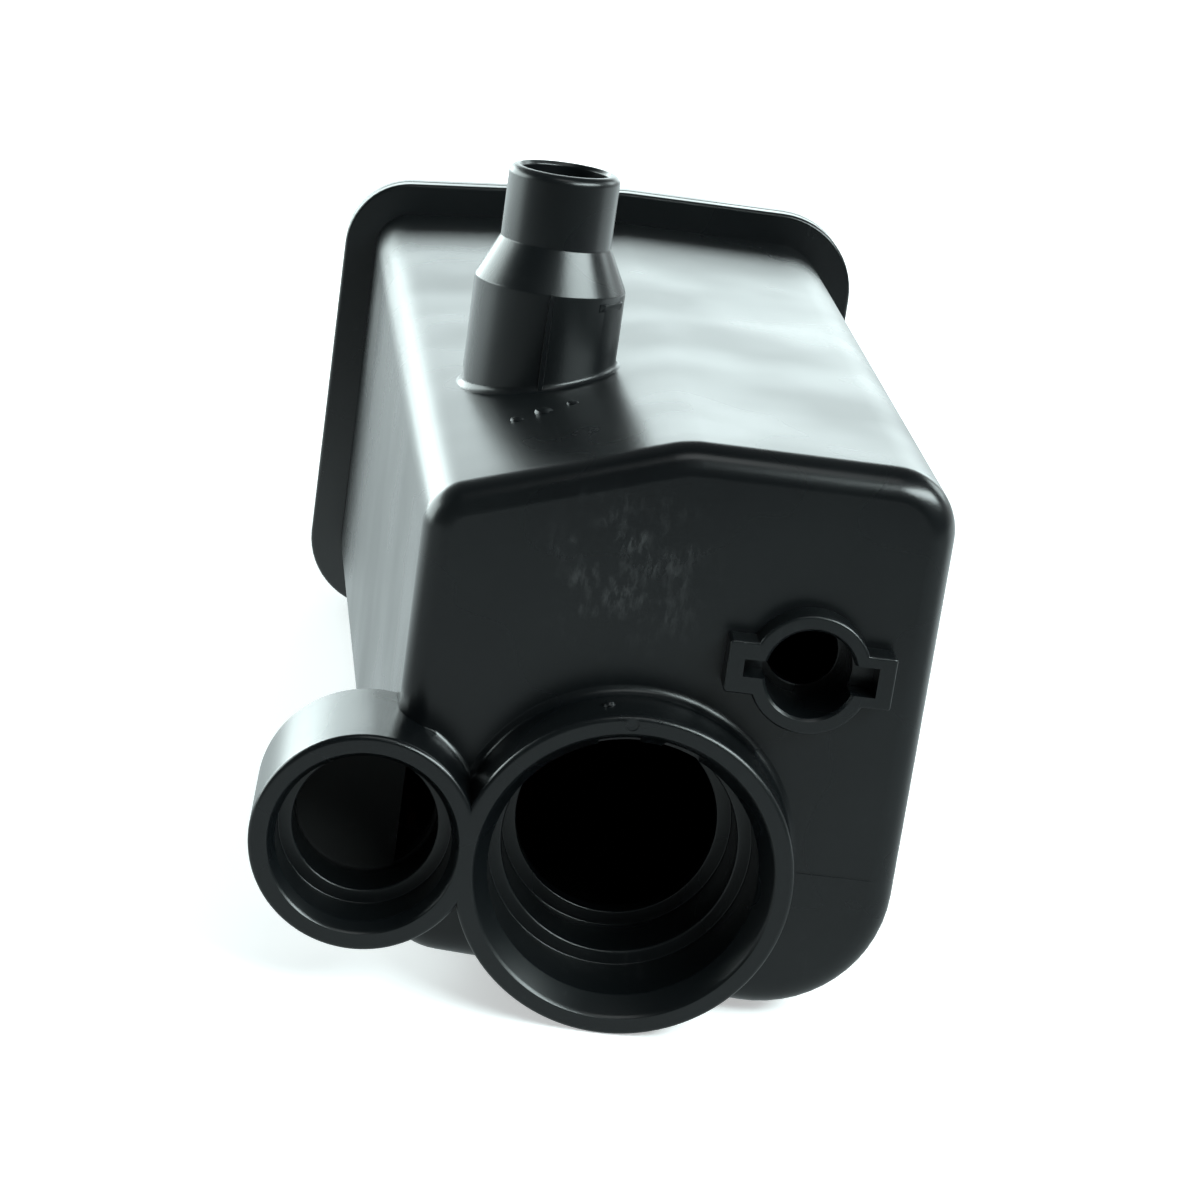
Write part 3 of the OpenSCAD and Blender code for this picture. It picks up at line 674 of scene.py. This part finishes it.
def moulded(name, dark, light, rough, grain=0.012, wave=0.05, specular=0.5, mark=None):
    """Moulded plastic: fine grain, slow flow marks, a little change of tone and gloss, and scuffs.
    The lower shell's has a rubbed patch at mark, and the small socket's end wall is matt and darker, with painted
    shade."""
    material, tree, shader = nodes_of(name)
    tone = mix(tree, spread(tree, noise(tree, 22, 4), 0, 1), dark, light)
    roughness = spread(tree, noise(tree, 24, 2), rough - 0.04, rough + 0.04)
    worn = scratches(tree, 500, spread(tree, noise(tree, 30, 2), 0, 0.14, 0.55, 0.75))
    if mark:
        near = node(tree, "ShaderNodeVectorMath", {0: place(tree), 1: mark}, operation="DISTANCE").outputs["Value"]
        patch = times(tree, spread(tree, near, 1, 0, 0.004, 0.0165),
                      spread(tree, noise(tree, 190, 2), 0, 1, 0.42, 0.6))
        streaks = noise(tree, 900, 3, 0.65, stretch=(1, 1, 0.35))
        rubbed = times(tree, patch, spread(tree, streaks, 0, 0.4, 0.45, 0.68))
        worn = node(tree, "ShaderNodeMath", {0: worn, 1: rubbed}, operation="MAXIMUM").outputs[0]
        matt = times(tree, matt_end_painted_shade(tree), 0.5)
        roughness = node(tree, "ShaderNodeMath", {0: roughness, 1: matt}).outputs[0]
        # Painted shade: the small socket's end wall, deep in its recess, is darkened to near black.
        tone = mix(tree, matt_end_painted_shade(tree), tone, (0.0008, 0.0009, 0.001))
    pale = tuple(0.075 + c for c in light)
    tree.links.new(mix(tree, worn, tone, pale), shader.inputs["Base Color"])
    rougher = node(tree, "ShaderNodeMath", {0: roughness, 1: spread(tree, worn, 0, 0.14, 0, 1)})
    tree.links.new(rougher.outputs[0], shader.inputs["Roughness"])
    shader.inputs["Specular IOR Level"].default_value = specular
    bumps(tree, shader, (noise(tree, 20, 1.5), wave), (noise(tree, 2600, 2, 0.6), grain), (worn, 0.006))
    return material


def rubber(name):
    material, tree, shader = nodes_of(name)
    tone = mix(tree, spread(tree, noise(tree, 120, 4), 0, 1), (0.008, 0.008, 0.008), (0.02, 0.02, 0.019))
    tree.links.new(tone, shader.inputs["Base Color"])
    tree.links.new(spread(tree, noise(tree, 300, 3), 0.5, 0.68), shader.inputs["Roughness"])
    shader.inputs["Sheen Weight"].default_value = 0.15
    bumps(tree, shader, (noise(tree, 3000, 2, 0.6), 0.01))
    return material


def metal(name, dark, light, rough):
    """Turned metal: fine rings round the cap's axis and a little tarnish."""
    material, tree, shader = nodes_of(name)
    tone = mix(tree, spread(tree, noise(tree, 260, 4), 0, 1), dark, light)
    tree.links.new(tone, shader.inputs["Base Color"])
    shader.inputs["Metallic"].default_value = 1
    rings = node(tree, "ShaderNodeTexNoise", {"W": from_axis(tree, *FILLER), "Scale": 2200, "Detail": 2.0},
                 noise_dimensions="1D")
    tree.links.new(spread(tree, noise(tree, 200, 4), rough - 0.06, rough + 0.08), shader.inputs["Roughness"])
    bumps(tree, shader, (rings.outputs["Fac"], 0.006), (noise(tree, 1800, 2), 0.004))
    return material


# Middle of the rubbed patch on the front face, in metres
MARK = (-0.006, 0.008, 0.0485)

black = moulded("black_nylon", (0.0022, 0.003, 0.0036), (0.0042, 0.0054, 0.0062), 0.29, wave=0.05, specular=0.55,
                mark=MARK)
cap_black = moulded("cap_black", (0.006, 0.006, 0.0065), (0.01, 0.01, 0.011), 0.46, grain=0.03, wave=0.01)
grey = moulded("valve_grey", (0.04, 0.04, 0.043), (0.06, 0.06, 0.064), 0.4, wave=0.01)
natural = moulded("natural_nylon", (0.55, 0.53, 0.45), (0.66, 0.64, 0.56), 0.42, wave=0.01)
red = moulded("float_red", (0.42, 0.05, 0.025), (0.55, 0.08, 0.04), 0.38, wave=0.01)
seal = rubber("seal_rubber")
steel = metal("spring_steel", (0.42, 0.43, 0.45), (0.6, 0.61, 0.63), 0.28)
brass = metal("valve_brass", (0.5, 0.36, 0.17), (0.68, 0.52, 0.28), 0.27)


def dress(name, material):
    obj = frame["nodes"][name]
    obj.data.materials.clear()
    obj.data.materials.append(material)


def finish_piece(obj, body, slot, material, *nodes):
    obj.data.materials.clear()
    obj.data.materials.append(material)
    for p in obj.data.polygons:
        p.material_index = 0
    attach(obj, body)
    if nodes:
        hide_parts(*nodes)
    return obj


finish_piece(smooth(lower_shell()), "tank", "shell", black, "lower_shell")
finish_piece(smooth(upper_shell()), "tank", "shell", black, "upper_shell")
finish_piece(smooth(cap(), 40), "cap", "cap", cap_black, "cap_shell")
# Springs: piece, body, node, radius of the wire, turns, joint, fixed end along Y and travel
for name, body, cad_node, wire, turns, joint, fixed_y, travel in (
        ("valve_spring", "housing", "pressure_spring", 0.8, 4, "pressure_lift", 319, 1.5),
        ("small_spring", "pressure_valve", "vacuum_spring", 0.35, 3, "vacuum_open", 302, 0.8)):
    coil = finish_piece(smooth(spring(name, cad_node, wire, turns), 60), body, "spring_wire", steel, cad_node)
    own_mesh(coil)
for material, names in (
        (grey, ("valve_housing", "valve_cover")), (natural, ("float_guide",)), (red, ("level_float", "float_rod")),
        (seal, ("housing_ring", "rim_seal", "pressure_disc", "bleed_ring")), (cap_black, ("bleed_screw",)),
        (brass, ("pressure_plate", "vacuum_valve"))):
    for name in names:
        dress(name, material)

# Floor, backdrop and light

FLOOR_Z = -28.05
FLOOR_LO = (-6000, -4000, FLOOR_Z - 10)
FLOOR_HI = (6000, 8000, FLOOR_Z)


def rays(tree):
    """1 for camera, glossy and transmission rays, then 1 for glossy rays alone."""
    seen = node(tree, "ShaderNodeLightPath")
    shows = node(tree, "ShaderNodeMath", {0: seen.outputs["Is Camera Ray"], 1: seen.outputs["Is Glossy Ray"]},
                 operation="MAXIMUM")
    shows = node(tree, "ShaderNodeMath", {0: shows.outputs[0], 1: seen.outputs["Is Transmission Ray"]},
                 operation="MAXIMUM")
    return shows.outputs[0], seen.outputs["Is Glossy Ray"]


def floor():
    """White sheet that takes the object's shadow. In reflections it darkens far in front of the
    object, as a room does, and is brighter at both sides behind it."""
    obj = box("floor", FLOOR_LO, FLOOR_HI)
    material = bpy.data.materials.new("white_floor")
    material.use_nodes = True
    tree = material.node_tree
    tree.nodes.clear()
    out = tree.nodes.new("ShaderNodeOutputMaterial")
    shows, glossy = rays(tree)
    split = node(tree, "ShaderNodeSeparateXYZ", {0: place(tree)}).outputs
    along = split["Y"]
    front = spread(tree, along, 0.05, 0.52, -0.5, -0.24)
    behind = spread(tree, along, 0, 0.48, 0.0, 0.14)
    across = node(tree, "ShaderNodeMath", {0: split["X"]}, operation="ABSOLUTE").outputs[0]
    sides = times(tree, spread(tree, across, 0, 0.6, 0.12, 0.3), spread(tree, along, 0, 1, 0.0, 0.2))
    bright = node(tree, "ShaderNodeMath", {0: front, 1: behind}).outputs[0]
    bright = node(tree, "ShaderNodeMath", {0: bright, 1: sides}).outputs[0]
    diffuse = node(tree, "ShaderNodeBsdfDiffuse", {"Color": (0.9, 0.92, 0.92, 1)})
    away = node(tree, "ShaderNodeVectorMath", {0: place(tree)}, operation="LENGTH").outputs["Value"]
    glow = node(tree, "ShaderNodeEmission", {"Strength": times(tree, shows, spread(tree, away, 0.43, 1, 0.7, 1.8))})
    lit = node(tree, "ShaderNodeAddShader", {0: diffuse.outputs[0], 1: glow.outputs[0]})
    mirrored = node(tree, "ShaderNodeEmission", {"Color": (0.86, 0.99, 1, 1), "Strength": bright})
    both = node(tree, "ShaderNodeMixShader", {0: glossy, 1: lit.outputs[0], 2: mirrored.outputs[0]})
    tree.links.new(both.outputs[0], out.inputs["Surface"])
    obj.data.materials.append(material)
    return obj


def world():
    """White behind the object and along the horizon, darker overhead and on the front side for reflections."""
    made = bpy.data.worlds.new("studio")
    scene.world = made
    made.use_nodes = True
    tree = made.node_tree
    tree.nodes.clear()
    out = tree.nodes.new("ShaderNodeOutputWorld")
    shows, glossy = rays(tree)
    way = node(tree, "ShaderNodeSeparateXYZ", {0: node(tree, "ShaderNodeTexCoord").outputs["Generated"]})
    behind = spread(tree, way.outputs["Y"], 0.05, 1, -0.1, 0.5)
    low = spread(tree, way.outputs["Z"], 1, 0.12, 0.3, 0.6)
    dim = times(tree, behind, low)
    even = spread(tree, way.outputs["Y"], 0.2, 0.62, -0.4, 0.5)
    light = node(tree, "ShaderNodeBackground", {"Color": (0.94, 0.99, 1, 1), "Strength": even})
    white = node(tree, "ShaderNodeBackground", {"Color": (1, 1, 1, 1), "Strength": 1.0})
    studio = node(tree, "ShaderNodeBackground", {"Color": (0.9, 0.99, 1, 1), "Strength": dim})
    seen = node(tree, "ShaderNodeMixShader", {0: glossy, 1: white.outputs[0], 2: studio.outputs[0]})
    both = node(tree, "ShaderNodeMixShader", {0: shows, 1: light.outputs[0], 2: seen.outputs[0]})
    tree.links.new(both.outputs[0], out.inputs["Surface"])


def lamp(name, at, aim, width, height, radiance, color):
    """Rectangular lamp of an even radiance, turned towards aim."""
    data = bpy.data.lights.new(name, "AREA")
    data.shape = "RECTANGLE"
    data.size, data.size_y = width, height
    data.energy = radiance * pi * width * height
    data.color = color
    obj = bpy.data.objects.new(name, data)
    scene.collection.objects.link(obj)
    obj.location = at
    obj.rotation_euler = (Vector(aim) - Vector(at)).to_track_quat("-Z", "Y").to_euler()
    return obj


floor()
world()
lamp("back_softbox", (-0.1, 1.7, 0.42), (0, 0.12, 0.03), 2.0, 0.6, 2.6, (0.85, 1, 1))
lamp("left_softbox", (-1.1, 0.75, 0.3), (0, 0.1, 0.03), 1.9, 0.8, 6.5, (0.86, 1, 0.99))
lamp("right_softbox", (1.1, 0.85, 0.72), (0, 0.1, 0.05), 0.6, 0.5, 4.0, (0.86, 1, 1))
lamp("front_right_softbox", (0.75, -0.55, 0.78), (-0.02, 0.08, 0.09), 1.1, 0.35, 16.0, (0.86, 1, 1))
lamp("top_softbox", (0.0, -0.45, 1.15), (0, 0.05, 0.05), 0.5, 0.4, 1.6, (0.94, 1, 1))

scene.view_settings.view_transform = "Standard"
